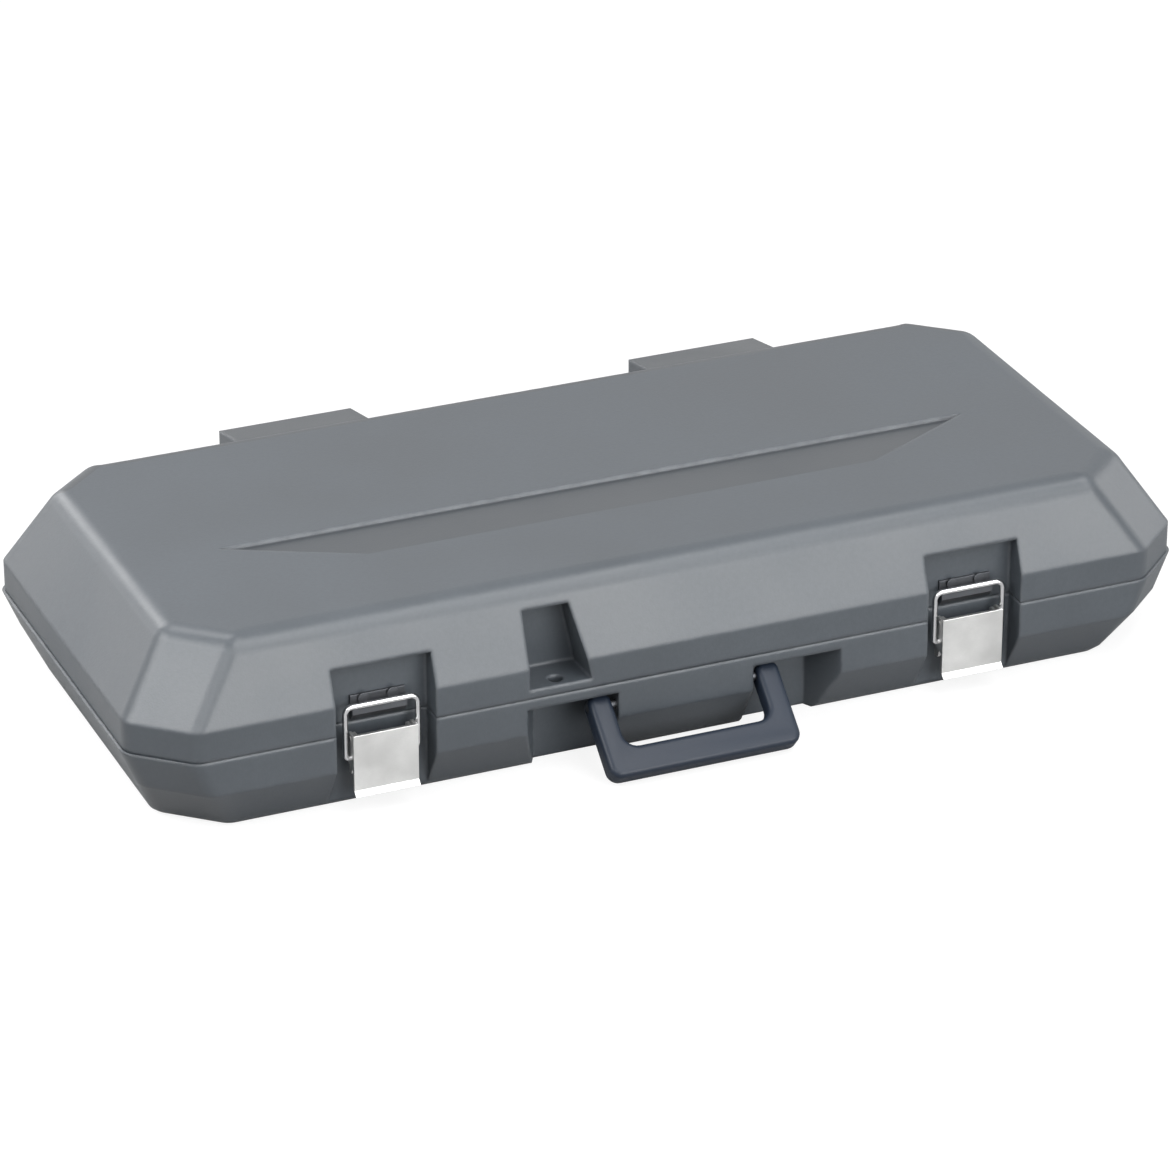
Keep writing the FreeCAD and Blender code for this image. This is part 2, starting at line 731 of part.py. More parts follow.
LEVER_HALF = "(lever_width / 2)"
STUB_END = "(%s - latch_sheet - side_gap)" % LEVER_HALF
EAR_OUT = "(%s - side_gap)" % STUB_END
EAR_IN = "(%s - latch_sheet)" % EAR_OUT


def make_bracket(side):
    """A back plate on the pocket floor with two ears that carry the lever's pin."""
    body = new_body("latch_%s_bracket" % side)
    low = "(%s - bracket_low)" % LEVER_Z
    high = "(%s - bracket_high)" % LEVER_Z
    plate = rectangle("-" + EAR_OUT, EAR_OUT, low, high)
    pad(body, outline(body, "BracketPlate", "XZ_Plane", "-" + LATCH_FLOOR, plate), "latch_sheet")
    heel = "%s + lever_heel - latch_sheet" % LEVER_Z
    ear = [
        (LATCH_FLOOR, low),
        (LATCH_FLOOR, high),
        ("%s + ear_margin" % LEVER_Y, heel),
        ("%s - ear_margin" % LEVER_Y, heel),
        ("%s - ear_margin" % LEVER_Y, "%s - ear_margin" % LEVER_Z),
        ("%s - ear_margin" % LATCH_FLOOR, low),
    ]
    for start in ("-" + EAR_OUT, EAR_IN):
        profile = outline(body, "BracketEar", "YZ_Plane", start, ear, "latch_pin_radius", (2, 3))
        pad(body, profile, "latch_sheet")
    bore = circles(body, "BracketBore", "YZ_Plane", "-" + LEVER_HALF,
                   [(LEVER_Y, LEVER_Z, "latch_pin_radius + fit_gap")])
    cut(body, bore, "lever_width")
    discs = [(x, z, "rivet_radius + fit_gap") for x, z in BRACKET_RIVETS]
    cut(body, circles(body, "BracketHoles", "XZ_Plane", "-%s - overrun" % LATCH_FLOOR, discs),
        "latch_sheet + 2 * overrun")
    place(body, "%s * latch_spacing / 2" % SIDES[side])


def make_lever(side):
    """The folded lever plate: a face with an outward lip and two flanges."""
    body = new_body("latch_%s_lever" % side)
    face = "(%s - lever_standoff)" % LEVER_Y
    inner = "(%s + latch_sheet)" % face
    top = "(%s + lever_heel)" % LEVER_Z
    low = "(%s - lever_length)" % LEVER_Z
    plate = [
        (face, top),
        (face, low + " + lever_lip"),
        (face + " - lever_lip", low),
        (inner + " - lever_lip", low),
        (inner, low + " + lever_lip"),
        (inner, top),
    ]
    pad(body, outline(body, "LeverFace", "YZ_Plane", "-" + LEVER_HALF, plate), "lever_width")
    flange = [
        (face, top),
        (face, "%s - 2 * flange_margin" % BAIL_Z),
        ("%s + flange_margin" % BAIL_Y, "%s - flange_margin" % BAIL_Z),
        ("%s + flange_margin" % LEVER_Y, "%s + flange_margin" % LEVER_Z),
    ]
    for start in ("-" + LEVER_HALF, "%s - latch_sheet" % LEVER_HALF):
        profile = outline(body, "LeverFlange", "YZ_Plane", start, flange, "latch_pin_radius", (2, 3))
        pad(body, profile, "latch_sheet")
    bores = circles(body, "LeverBores", "YZ_Plane", "-%s - overrun" % LEVER_HALF, [
        (LEVER_Y, LEVER_Z, "latch_pin_radius + running_gap"),
        (BAIL_Y, BAIL_Z, "bail_radius + running_gap"),
    ])
    cut(body, bores, "lever_width + 2 * overrun")
    place(body, "%s * latch_spacing / 2" % SIDES[side])


def make_bail(side):
    """A bent wire whose ends turn into the lever's flanges."""
    body = new_body("latch_%s_bail" % side)
    leg = "(bail_width / 2)"
    bar = "%s + bail_length" % BAIL_Z
    spine = new_sketch(body, "BailLine", "XZ_Plane", "-" + BAIL_Y)
    corners = [
        (STUB_END, BAIL_Z),
        (leg, BAIL_Z),
        (leg, bar),
        ("-" + leg, bar),
        ("-" + leg, BAIL_Z),
        ("-" + STUB_END, BAIL_Z),
    ]
    radii = {1: "bail_end_bend", 2: "bail_bend", 3: "bail_bend", 4: "bail_end_bend"}
    draw(spine, corners, radii, closed=False)
    wire = circles(body, "BailWire", "YZ_Plane", STUB_END, [(BAIL_Y, BAIL_Z, "bail_radius")])
    pipe = body.newObject("PartDesign::AdditivePipe", "BailPipe")
    pipe.Profile = wire
    pipe.Spine = spine
    place(body, "%s * latch_spacing / 2" % SIDES[side])


def make_catch(side):
    """The lug on the lid; its nose stands just inside the closed bail's bar."""
    body = new_body("latch_%s_catch" % side)
    foot = "(%s - latch_sheet)" % LATCH_FLOOR
    nose = "(%s + bail_radius + side_gap)" % BAIL_Y
    nose_top = "(parting_height + catch_nose)"
    low = "(parting_height + catch_low)"
    profile = [
        (LATCH_FLOOR, "parting_height + catch_top"),
        (foot, "parting_height + catch_top"),
        (foot, nose_top),
        (nose, nose_top),
        (nose, "(%s + %s) / 2" % (nose_top, low)),
        (foot, low),
        (LATCH_FLOOR, low),
    ]
    pad(body, outline(body, "Catch", "YZ_Plane", "-catch_width / 2", profile), "catch_width")
    discs = [(x, z, "rivet_radius + fit_gap") for x, z in CATCH_RIVETS]
    cut(body, circles(body, "CatchHoles", "XZ_Plane", "-%s - overrun" % LATCH_FLOOR, discs),
        "latch_sheet + 2 * overrun")
    place(body, "%s * latch_spacing / 2" % SIDES[side])


def make_rivets(label, side, places):
    """Two rivets through a latch plate and the pocket wall behind it."""
    body = new_body(label)
    tail = "(%s + wall)" % LATCH_FLOOR
    stages = [
        ("Tail", "%s + rivet_head" % tail, "rivet_head", "rivet_head_radius"),
        ("Shank", tail, "wall + latch_sheet", "rivet_radius"),
        ("Head", "%s - latch_sheet" % LATCH_FLOOR, "rivet_head", "rivet_head_radius"),
    ]
    for name, start, length, radius in stages:
        discs = [(x, z, radius) for x, z in places]
        pad(body, circles(body, "Rivet" + name, "XZ_Plane", "-(%s)" % start, discs), length)
    place(body, "%s * latch_spacing / 2" % SIDES[side])


def make_latches():
    for side, sign in SIDES.items():
        make_bracket(side)
        make_lever(side)
        make_bail(side)
        make_catch(side)
        cylinder_x("latch_%s_pin" % side, "latch_pin_radius", "lever_width + side_gap",
                   "%s * latch_spacing / 2" % sign, LEVER_Y, LEVER_Z)
        make_rivets("latch_%s_rivets" % side, side, BRACKET_RIVETS)
        make_rivets("catch_%s_rivets" % side, side, CATCH_RIVETS)


# Carry handle

def make_handle():
    """A U handle, drawn straight out from its pivots and hung at its droop angle."""
    body = new_body("carry_handle")
    inner = "(boss_half + handle_gap)"
    outer = "(%s + handle_leg)" % inner
    grip = "(handle_grip - handle_reach)"
    corners = [
        ("-" + outer, "-handle_reach"),
        (outer, "-handle_reach"),
        (outer, "handle_eye_radius"),
        (inner, "handle_eye_radius"),
        (inner, grip),
        ("-" + inner, grip),
        ("-" + inner, "handle_eye_radius"),
        ("-" + outer, "handle_eye_radius"),
    ]
    radii = {0: "handle_corner", 1: "handle_corner", 4: "handle_inner_corner", 5: "handle_inner_corner"}
    sketch = new_sketch(body, "HandlePlan", "XY_Plane", "-handle_thickness / 2")
    draw(sketch, corners, radii)
    bow = pad(body, sketch, "handle_thickness")
    doc.recompute()
    rounding = body.newObject("PartDesign::Fillet", "HandleRound")
    rounding.Base = (bow, ["Edge%d" % i for i in range(1, len(bow.Shape.Edges) + 1)
                           if bow.Shape.Edges[i - 1].BoundBox.ZLength < LEVEL_TOLERANCE])
    rounding.setExpression("Radius", sized("handle_round"))
    bores = circles(body, "HandleBore", "YZ_Plane", "-%s - overrun" % outer,
                    [("0", "0", "handle_pin_radius + running_gap")])
    cut(body, bores, "2 * %s + 2 * overrun" % outer)
    body.Placement = FreeCAD.Placement(FreeCAD.Vector(), FreeCAD.Rotation(AXIS_X, number("handle_droop")))
    body.setExpression("Placement.Rotation.Angle", sized("handle_droop"))
    place(body, "0", HANDLE_Y, "handle_pivot_z")


def make_handle_pins():
    body = new_body("handle_pins")
    length = "(wall + handle_gap + handle_leg - side_gap)"
    disc = [(HANDLE_Y, "handle_pivot_z", "handle_pin_radius")]
    starts = {"left": "wall - boss_half - %s" % length, "right": "boss_half - wall"}
    for side, start in starts.items():
        pad(body, circles(body, "HandlePin" + side, "YZ_Plane", start, disc), length)


# Sockets and the rows they stand in

ROW_HALF = "(case_length / 2 - base_inset_end - wall - lane_gap)"
SOCKET_FOOT = "(wall + tray_sheet)"


def nose_radius(flats):
    return "(%d / cos(30) / 2 + socket_wall)" % flats


def socket_radius(flats):
    return "max(%s; socket_collar_radius)" % nose_radius(flats)


def socket_height(flats):
    return "(socket_base_height + socket_growth * %d)" % flats


def spread(row, low, high):
    """The X place of each socket of a row, with even gaps between them."""
    widths = " + ".join("2 * " + socket_radius(flats) for flats in row)
    gap = "((%s - (%s) - (%s)) / %d)" % (high, low, widths, len(row) + 1)
    places = []
    for i, flats in enumerate(row):
        before = "".join(" + 2 * " + socket_radius(other) for other in row[:i])
        places.append("%s + %d * %s%s + %s" % (low, i + 1, gap, before, socket_radius(flats)))
    return places


RATCHET_Y = "(%s - lane_gap - head_radius)" % TRAY_BACK
RATCHET_X = "(-%s + head_radius)" % ROW_HALF
RATCHET_Z = "(bed_height + bed_gap + head_thickness / 2)"
FRONT_REAR_EDGE = "(%s + lane_gap + 2 * %s)" % (TRAY_FRONT, socket_radius(SOCKET_FLATS["front"][0]))
ROW_Y = {
    "front": "(%s + lane_gap + %s)" % (TRAY_FRONT, socket_radius(SOCKET_FLATS["front"][0])),
    "middle": "((%s + %s - neck_half) / 2)" % (FRONT_REAR_EDGE, RATCHET_Y),
}
BAR_X = {
    "extension_long": "(-%s)" % ROW_HALF,
    "extension_short": "(-%s + bar_long + 2 * lane_gap)" % ROW_HALF,
}
BAR_LENGTH = {"extension_long": "bar_long", "extension_short": "bar_short"}
BAR_Z = "(bed_height + bed_gap + bar_end_radius)"
ROW_START = {
    "front": "(-%s)" % ROW_HALF,
    "middle": "(%s + bar_short + lane_gap)" % BAR_X["extension_short"],
}
SOCKETS = []
for row_name, row_flats in SOCKET_FLATS.items():
    for flats, x in zip(row_flats, spread(row_flats, ROW_START[row_name], ROW_HALF)):
        SOCKETS.append((flats, x, ROW_Y[row_name]))


def polygon(sides, radius):
    """Corners of a regular polygon given by its corner radius."""
    turns = [i * 360 / sides for i in range(sides)]
    return [("%s * cos(%g)" % (radius, turn), "%s * sin(%g)" % (radius, turn)) for turn in turns]


def square(half):
    return rectangle("-%s" % half, half, "-%s" % half, half)


def make_socket(flats, x, y):
    """A turned socket, drive end down, with its hexagon at the top."""
    body = new_body("socket_%d" % flats)
    nose = nose_radius(flats)
    collar = "socket_collar_radius"
    height = socket_height(flats)
    profile = [
        ("0", "0"),
        (collar + " - socket_chamfer", "0"),
        (collar, "socket_chamfer"),
        (collar, "socket_collar"),
        (nose, "socket_collar + socket_step"),
        (nose, height + " - socket_chamfer"),
        (nose + " - socket_chamfer", height),
        ("0", height),
    ]
    revolve(body, outline(body, "SocketSide", "XZ_Plane", "0", profile), "V_Axis")
    floor = "(drive_length + socket_web)"
    hexagon = outline(body, "SocketHexagon", "XY_Plane", floor, polygon(6, "%d / cos(30) / 2" % flats))
    cut(body, hexagon, "%s - %s" % (height, floor))
    seat = outline(body, "SocketSquare", "XY_Plane", "0", square("(drive_square / 2 + drive_gap)"))
    cut(body, seat, "drive_length")
    disc = [("0", "0", "socket_through_radius")]
    through = circles(body, "SocketThrough", "XY_Plane", "drive_length", disc)
    cut(body, through, "socket_web")
    place(body, x, y, SOCKET_FOOT)


BALL_CENTRE = "(drive_square / 2 + ball_proud - ball_radius)"


def make_bar(label):
    """An extension bar along X: square socket at the left, square drive with its ball at the right."""
    body = new_body(label)
    length = BAR_LENGTH[label]
    shoulder = "(%s - drive_length)" % length
    profile = [
        ("0", "0"),
        ("0", "bar_end_radius - bar_round"),
        ("bar_round", "bar_end_radius"),
        ("bar_end_length", "bar_end_radius"),
        ("bar_end_length + bar_neck", "bar_radius"),
        (shoulder + " - bar_round", "bar_radius"),
        (shoulder, "bar_radius - bar_round"),
        (shoulder, "0"),
    ]
    revolve(body, outline(body, "BarSide", "XY_Plane", "0", profile), "H_Axis")
    drive = outline(body, "BarDrive", "YZ_Plane", shoulder, square("(drive_square / 2)"))
    pad(body, drive, "drive_length")
    seat = outline(body, "BarSeat", "YZ_Plane", "0", square("(drive_square / 2 + drive_gap)"))
    cut(body, seat, "drive_length + bar_round")
    detent_ball(body, "%s + drive_length / 2" % shoulder, "0", BALL_CENTRE)
    place(body, BAR_X[label], ROW_Y["middle"], BAR_Z)


def detent_ball(body, x, y, z):
    """The domed ball that stands out of a square drive's face."""
    ball = body.newObject("PartDesign::AdditiveSphere", "Ball")
    ball.setExpression("Radius", sized("ball_radius"))
    place(ball, x, y, z)


# Ratchet

def ratchet_place(body):
    place(body, RATCHET_X, RATCHET_Y, RATCHET_Z)


HEAD_HALF = "(head_thickness / 2)"
GEAR_LOW = "(-%s + cover_sheet + side_gap)" % HEAD_HALF
GEAR_HIGH = "(%s + gear_thickness)" % GEAR_LOW
COVER_SCREWS = [
    ("-screw_head_side", "-screw_head_side"),
    ("-screw_head_side", "screw_head_side"),
    ("screw_neck_x", "-screw_neck_y"),
    ("screw_neck_x", "screw_neck_y"),
]
SHANK_END = "(neck_length + shank_length)"


def cover_outline(gap):
    """The cover's plan: eight corners, drawn in towards the handle."""
    side = "(cover_half + %s)" % gap
    cheek = "(cover_side_half + %s)" % gap
    tail = "(cover_tail + %s)" % gap
    tail_half = "(cover_tail_half + %s)" % gap
    return [
        ("-" + side, "-" + cheek),
        ("-" + cheek, "-" + side),
        ("cover_side_half", "-" + side),
        (tail, "-" + tail_half),
        (tail, tail_half),
        ("cover_side_half", side),
        ("-" + cheek, side),
        ("-" + side, cheek),
    ]


def neck_plan(x, y, gap):
    """The plan of the head's tapered neck, widened by a gap."""
    end = "%s + neck_length + %s" % (x, gap)
    return [
        (x, "%s - neck_root_half - (%s)" % (y, gap)),
        (end, "%s - neck_half - (%s)" % (y, gap)),
        (end, "%s + neck_half + %s" % (y, gap)),
        (x, "%s + neck_root_half + %s" % (y, gap)),
    ]


def make_ratchet_head():
    """The forged head with its tapered neck and round shank, bored for the mechanism."""
    body = new_body("ratchet_head")
    low = "-" + HEAD_HALF
    pad(body, circles(body, "HeadRound", "XY_Plane", low, [("0", "0", "head_radius")]), "head_thickness")
    pad(body, outline(body, "HeadNeck", "XY_Plane", low, neck_plan("0", "0", "0")), "head_thickness")
    shank = circles(body, "HeadShank", "YZ_Plane", "neck_length", [("0", "0", "neck_half")])
    pad(body, shank, "shank_length")
    cut(body, outline(body, "CoverSeat", "XY_Plane", low, cover_outline("side_gap")), "cover_sheet")
    room = circles(body, "GearRoom", "XY_Plane", low, [("0", "0", "gear_radius + side_gap")])
    cut(body, room, "cover_sheet + gear_thickness + 2 * side_gap")
    room = circles(body, "PawlRoom", "XY_Plane", low, [("spindle_x", "0", "pawl_radius + side_gap")])
    cut(body, room, "cover_sheet + gear_thickness + 2 * side_gap")
    journal = circles(body, "JournalBore", "XY_Plane", low, [("0", "0", "journal_radius + running_gap")])
    cut(body, journal, "cover_sheet + gear_thickness + 3 * side_gap + journal_length")
    disc = [("spindle_x", "0", "spindle_radius + running_gap")]
    spindle = circles(body, "SpindleBore", "XY_Plane", low, disc)
    cut(body, spindle, "head_thickness + overrun")
    tenon = circles(body, "TenonBore", "YZ_Plane", "%s - bar_seat" % SHANK_END,
                    [("0", "0", "tenon_radius + fit_gap")])
    cut(body, tenon, "bar_seat")
    cross = [("%s - bar_seat / 2" % SHANK_END, "0", "cross_pin_radius + fit_gap")]
    cut(body, circles(body, "CrossBore", "XY_Plane", low, cross), "head_thickness")
    screws = [(x, y, "screw_radius + fit_gap") for x, y in COVER_SCREWS]
    cut(body, circles(body, "ScrewBores", "XY_Plane", low, screws), "screw_length")
    ratchet_place(body)


def make_ratchet_cover():
    body = new_body("ratchet_cover")
    low = "-" + HEAD_HALF
    pad(body, outline(body, "Cover", "XY_Plane", low, cover_outline("0")), "cover_sheet")
    holes = [("0", "0", "journal_radius + running_gap")]
    holes += [(x, y, "screw_radius + fit_gap") for x, y in COVER_SCREWS]
    cut(body, circles(body, "CoverHoles", "XY_Plane", low, holes), "cover_sheet")
    ratchet_place(body)
    screws = new_body("ratchet_cover_screws")
    discs = [(x, y, "screw_radius") for x, y in COVER_SCREWS]
    pad(screws, circles(screws, "Screws", "XY_Plane", low, discs), "screw_length")
    ratchet_place(screws)


def make_ratchet_gear():
    """The toothed wheel with its two journals and the square drive below."""
    body = new_body("ratchet_gear")
    root = "(gear_radius - tooth_depth)"
    pad(body, circles(body, "GearRoot", "XY_Plane", GEAR_LOW, [("0", "0", root)]), "gear_thickness")
    half = "gear_radius * tan(180 / gear_teeth)"
    tooth = [
        ("%s - tooth_depth" % root, "-" + half),
        ("gear_radius", "0"),
        ("%s - tooth_depth" % root, half),
    ]
    first = pad(body, outline(body, "GearTooth", "XY_Plane", GEAR_LOW, tooth), "gear_thickness")
    ring = body.newObject("PartDesign::PolarPattern", "GearTeeth")
    ring.Originals = [first]
    ring.Axis = (next(axis for axis in body.Origin.OriginFeatures if axis.Role == "Z_Axis"), [""])
    ring.Angle = 360
    ring.setExpression("Occurrences", sized("gear_teeth"))
    body.Tip = ring
    disc = [("0", "0", "journal_radius")]
    pad(body, circles(body, "UpperJournal", "XY_Plane", GEAR_HIGH, disc), "journal_length")
    drive_top = "(-%s - side_gap)" % HEAD_HALF
    lower = circles(body, "LowerJournal", "XY_Plane", drive_top, disc)
    pad(body, lower, "%s - %s" % (GEAR_LOW, drive_top))
    drive_end = "%s - drive_length" % drive_top
    drive = outline(body, "GearDrive", "XY_Plane", drive_end, square("(drive_square / 2)"))
    pad(body, drive, "drive_length")
    detent_ball(body, BALL_CENTRE, "0", "%s - drive_length / 2" % drive_top)
    ratchet_place(body)


def make_reverser():
    """The reversing lever with its spindle, and the two-toed pawl keyed to it."""
    top = "(%s + side_gap)" % HEAD_HALF
    body = new_body("ratchet_reverser")
    disc = [("0", "0", "spindle_radius")]
    pad(body, circles(body, "Spindle", "XY_Plane", GEAR_LOW, disc), "%s - %s" % (top, GEAR_LOW))
    hub = circles(body, "Hub", "XY_Plane", top, [("0", "0", "reverser_hub_radius")])
    pad(body, hub, "reverser_height")
    blade = [
        ("0", "-reverser_root_half"),
        ("0", "reverser_root_half"),
        ("-reverser_length", "reverser_tip_half"),
        ("-reverser_length", "-reverser_tip_half"),
    ]
    pad(body, outline(body, "Blade", "XY_Plane", top, blade), "reverser_height")
    pawl = new_body("ratchet_pawl")
    pad(pawl, circles(pawl, "Pawl", "XY_Plane", GEAR_LOW, [("0", "0", "pawl_radius")]), "gear_thickness")
    notch = [
        ("-spindle_radius - pawl_web", "0"),
        ("-pawl_radius - overrun", "pawl_notch_half"),
        ("-pawl_radius - overrun", "-pawl_notch_half"),
    ]
    cut(pawl, outline(pawl, "PawlNotch", "XY_Plane", GEAR_LOW, notch), "gear_thickness")
    key = circles(pawl, "PawlBore", "XY_Plane", GEAR_LOW, [("0", "0", "spindle_radius + fit_gap")])
    cut(pawl, key, "gear_thickness")
    for piece in (body, pawl):
        piece.Placement = FreeCAD.Placement(FreeCAD.Vector(), FreeCAD.Rotation(AXIS_Z, -1))
        piece.setExpression("Placement.Rotation.Angle", sized("-reverser_swing"))
        place(piece, "%s + spindle_x" % RATCHET_X, RATCHET_Y, RATCHET_Z)


def make_ratchet_handle():
    """The handle rod with its grip, pinned into the head's shank."""
    body = new_body("ratchet_handle")
    end = "(ratchet_length - head_radius)"
    grip = "(%s - grip_length)" % end
    seat = "(%s - bar_seat)" % SHANK_END
    profile = [
        (seat, "0"),
        (seat, "tenon_radius"),
        (SHANK_END, "tenon_radius"),
        (SHANK_END, "rod_radius"),
        (grip, "rod_radius"),
        ("%s + bar_neck" % grip, "grip_radius"),
        ("%s - bar_round" % end, "grip_radius"),
        (end, "grip_radius - bar_round"),
        (end, "0"),
    ]
    revolve(body, outline(body, "HandleSide", "XY_Plane", "0", profile), "H_Axis")
    hole_x = "%s - bar_seat / 2" % SHANK_END
    disc = [(hole_x, "0", "cross_pin_radius + fit_gap")]
    hole = circles(body, "CrossHole", "XY_Plane", "-" + HEAD_HALF, disc)
    cut(body, hole, "head_thickness")
    ratchet_place(body)
    pin = new_body("ratchet_handle_pin")
    rod = circles(pin, "CrossPin", "XY_Plane", "-neck_half + side_gap", [(hole_x, "0", "cross_pin_radius")])
    pad(pin, rod, "2 * neck_half - 2 * side_gap")
    ratchet_place(pin)


# Tool tray

def tray_plan():
    """The tray's outline, stepped back from the latch pockets and the handle recess."""
    drawn_in = "base_inset_end * (parting_height - tray_height) / parting_height"
    half = "(case_length / 2 - %s - wall - tray_gap)" % drawn_in
    front = "(%s + wall + tray_gap)" % FRONT
    back = "(%s - wall - tray_gap)" % BACK
    step = "(%s + wall + tray_gap)" % LATCH_FLOOR
    latch = "(latch_spacing / 2)"
    reach = "(%s + wall + tray_gap)" % LATCH_HALF
    middle = "(recess_half + wall + tray_gap)"
    outer = octagon(half, front, back)
    steps = []
    for sign in SIDES.values():
        left = "%s * %s - %s" % (sign, latch, reach)
        right = "%s * %s + %s" % (sign, latch, reach)
        steps.append([(left, front), (left, step), (right, step), (right, front)])
    recess = [("-" + middle, front), ("-" + middle, TRAY_FRONT), (middle, TRAY_FRONT), (middle, front)]
    return [outer[0]] + steps[0] + recess + steps[1] + outer[1:]


def make_tray():
    """A thin sheet with a well for each socket, a bed for each bar and one for the ratchet."""
    body = new_body("tool_tray")
    pad(body, outline(body, "TrayTop", "XY_Plane", "tray_height - tray_sheet", tray_plan()), "tray_sheet")
    skin = "well_gap + tray_sheet"
    cups = [(x, y, "%s + %s" % (socket_radius(flats), skin)) for flats, x, y in SOCKETS]
    cups.append((RATCHET_X, RATCHET_Y, "drive_well_radius + tray_sheet"))
    pad(body, circles(body, "Cups", "XY_Plane", "wall", cups), "tray_height - wall")
    beds = []
    for label, x in BAR_X.items():
        end = "%s + %s" % (x, BAR_LENGTH[label])
        beds.append((x, end, ROW_Y["middle"], "bar_end_radius"))
    beds.append((RATCHET_X, "%s + ratchet_length - head_radius" % RATCHET_X, RATCHET_Y, "neck_half"))
    for i, (low, high, y, half) in enumerate(beds):
        frame = rectangle("%s - (%s)" % (low, skin), "%s + %s" % (high, skin),
                          "%s - %s - (%s)" % (y, half, skin), "%s + %s + %s" % (y, half, skin))
        pad(body, outline(body, "Bed%d" % i, "XY_Plane", "bed_height - tray_sheet", frame),
            "tray_height - bed_height + tray_sheet")
    dish = circles(body, "HeadBed", "XY_Plane", "bed_height - tray_sheet",
                   [(RATCHET_X, RATCHET_Y, "head_radius + %s" % skin)])
    pad(body, dish, "tray_height - bed_height + tray_sheet")
    neck = neck_plan(RATCHET_X, RATCHET_Y, skin)
    pad(body, outline(body, "NeckBed", "XY_Plane", "bed_height - tray_sheet", neck),
        "tray_height - bed_height + tray_sheet")
    wells = [(x, y, "%s + well_gap" % socket_radius(flats)) for flats, x, y in SOCKETS]
    wells.append((RATCHET_X, RATCHET_Y, "drive_well_radius"))
    cut(body, circles(body, "Wells", "XY_Plane", SOCKET_FOOT, wells), "tray_height")
    for i, (low, high, y, half) in enumerate(beds):
        room = rectangle("%s - well_gap" % low, "%s + well_gap" % high,
                         "%s - %s - well_gap" % (y, half), "%s + %s + well_gap" % (y, half))
        cut(body, outline(body, "Room%d" % i, "XY_Plane", "bed_height", room), "tray_height")
    disc = [(RATCHET_X, RATCHET_Y, "head_radius + well_gap")]
    dish = circles(body, "HeadRoom", "XY_Plane", "bed_height", disc)
    cut(body, dish, "tray_height")
    neck = neck_plan(RATCHET_X, RATCHET_Y, "well_gap")
    cut(body, outline(body, "NeckRoom", "XY_Plane", "bed_height", neck), "tray_height")


make_lid()
make_base()
make_hinge_pins()
make_latches()
make_handle()
make_handle_pins()
make_tray()
for flats, x, y in SOCKETS:
    make_socket(flats, x, y)
for label in BAR_X:
    make_bar(label)
make_ratchet_head()
make_ratchet_cover()
make_ratchet_gear()
make_reverser()
make_ratchet_handle()
doc.recompute()


# Checks, then one file for each sub-part

volumes = {}
for thing in doc.Objects:
    if "Invalid" in thing.State or "Error" in thing.State:
        raise RuntimeError("%s did not compute: %s" % (thing.Label, thing.State))
    if thing.isDerivedFrom("PartDesign::Feature"):
        volumes[thing.Name] = thing.Shape.Volume
    if thing.TypeId in ("PartDesign::Pocket", "PartDesign::SubtractiveLoft"):
        if volumes[thing.Name] >= volumes[thing.BaseFeature.Name]:
            raise RuntimeError("%s removed nothing" % thing.Label)
for part in SUB_PARTS:
    if part.Shape.isNull() or not part.Shape.isValid():
        raise RuntimeError("%s has no sound shape" % part.Label)
os.makedirs("parts", exist_ok=True)
for part in SUB_PARTS:
    part.Shape.exportStep("parts/%s.step" % part.Label)
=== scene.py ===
import json
import math

import bmesh
import bpy
from mathutils import Matrix, Vector


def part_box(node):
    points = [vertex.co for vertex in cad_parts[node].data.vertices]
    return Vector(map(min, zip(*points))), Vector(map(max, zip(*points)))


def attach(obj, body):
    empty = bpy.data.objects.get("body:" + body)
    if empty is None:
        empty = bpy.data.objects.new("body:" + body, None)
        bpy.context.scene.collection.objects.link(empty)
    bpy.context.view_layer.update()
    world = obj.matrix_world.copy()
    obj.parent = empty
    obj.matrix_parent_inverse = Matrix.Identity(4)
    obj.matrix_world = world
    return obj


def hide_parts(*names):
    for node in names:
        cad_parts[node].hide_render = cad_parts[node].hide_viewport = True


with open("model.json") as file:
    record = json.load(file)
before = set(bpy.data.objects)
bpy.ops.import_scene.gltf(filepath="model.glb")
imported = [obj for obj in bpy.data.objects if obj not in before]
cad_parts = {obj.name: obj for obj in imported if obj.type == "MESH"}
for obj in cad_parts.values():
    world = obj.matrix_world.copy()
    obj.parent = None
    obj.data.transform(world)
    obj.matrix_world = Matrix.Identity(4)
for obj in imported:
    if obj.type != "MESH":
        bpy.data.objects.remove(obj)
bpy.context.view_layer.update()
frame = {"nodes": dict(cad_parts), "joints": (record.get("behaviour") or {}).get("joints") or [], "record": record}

# Lengths are in metres, apart from the camera's sensor. Colours are linear red, green and blue.
MILLIMETRE = 0.001

# Camera, fitted to the corners of the case in the photograph
SENSOR_MILLIMETRES = 36.0
PHOTO_WIDTH_PIXELS = 1170
FOCAL_PIXELS = 5434
CAMERA_PLACE = (-1.0358, -2.4296, 1.3521)
CAMERA_YAW = 0.402
CAMERA_PITCH = 0.462

# Carry handle, a U that hangs from its pivots
HANDLE_REACH = 42.5 * MILLIMETRE
HANDLE_GRIP = 16 * MILLIMETRE
HANDLE_LEG = 13 * MILLIMETRE
HANDLE_THICKNESS = 12 * MILLIMETRE
HANDLE_EYE = 5.6 * MILLIMETRE
HANDLE_EYE_CORNER = 5.2 * MILLIMETRE
HANDLE_OUTER_CORNER = 6.5 * MILLIMETRE
HANDLE_INNER_CORNER = 7.5 * MILLIMETRE
HANDLE_BEVEL = 3.2 * MILLIMETRE
HANDLE_BORE_RADIUS = 2.7 * MILLIMETRE
HANDLE_DROOP = math.radians(41)
SHARP_ANGLE = math.radians(40)
CORNER_STEPS = 6
BEVEL_STEPS = 4
BORE_SIDES = 32

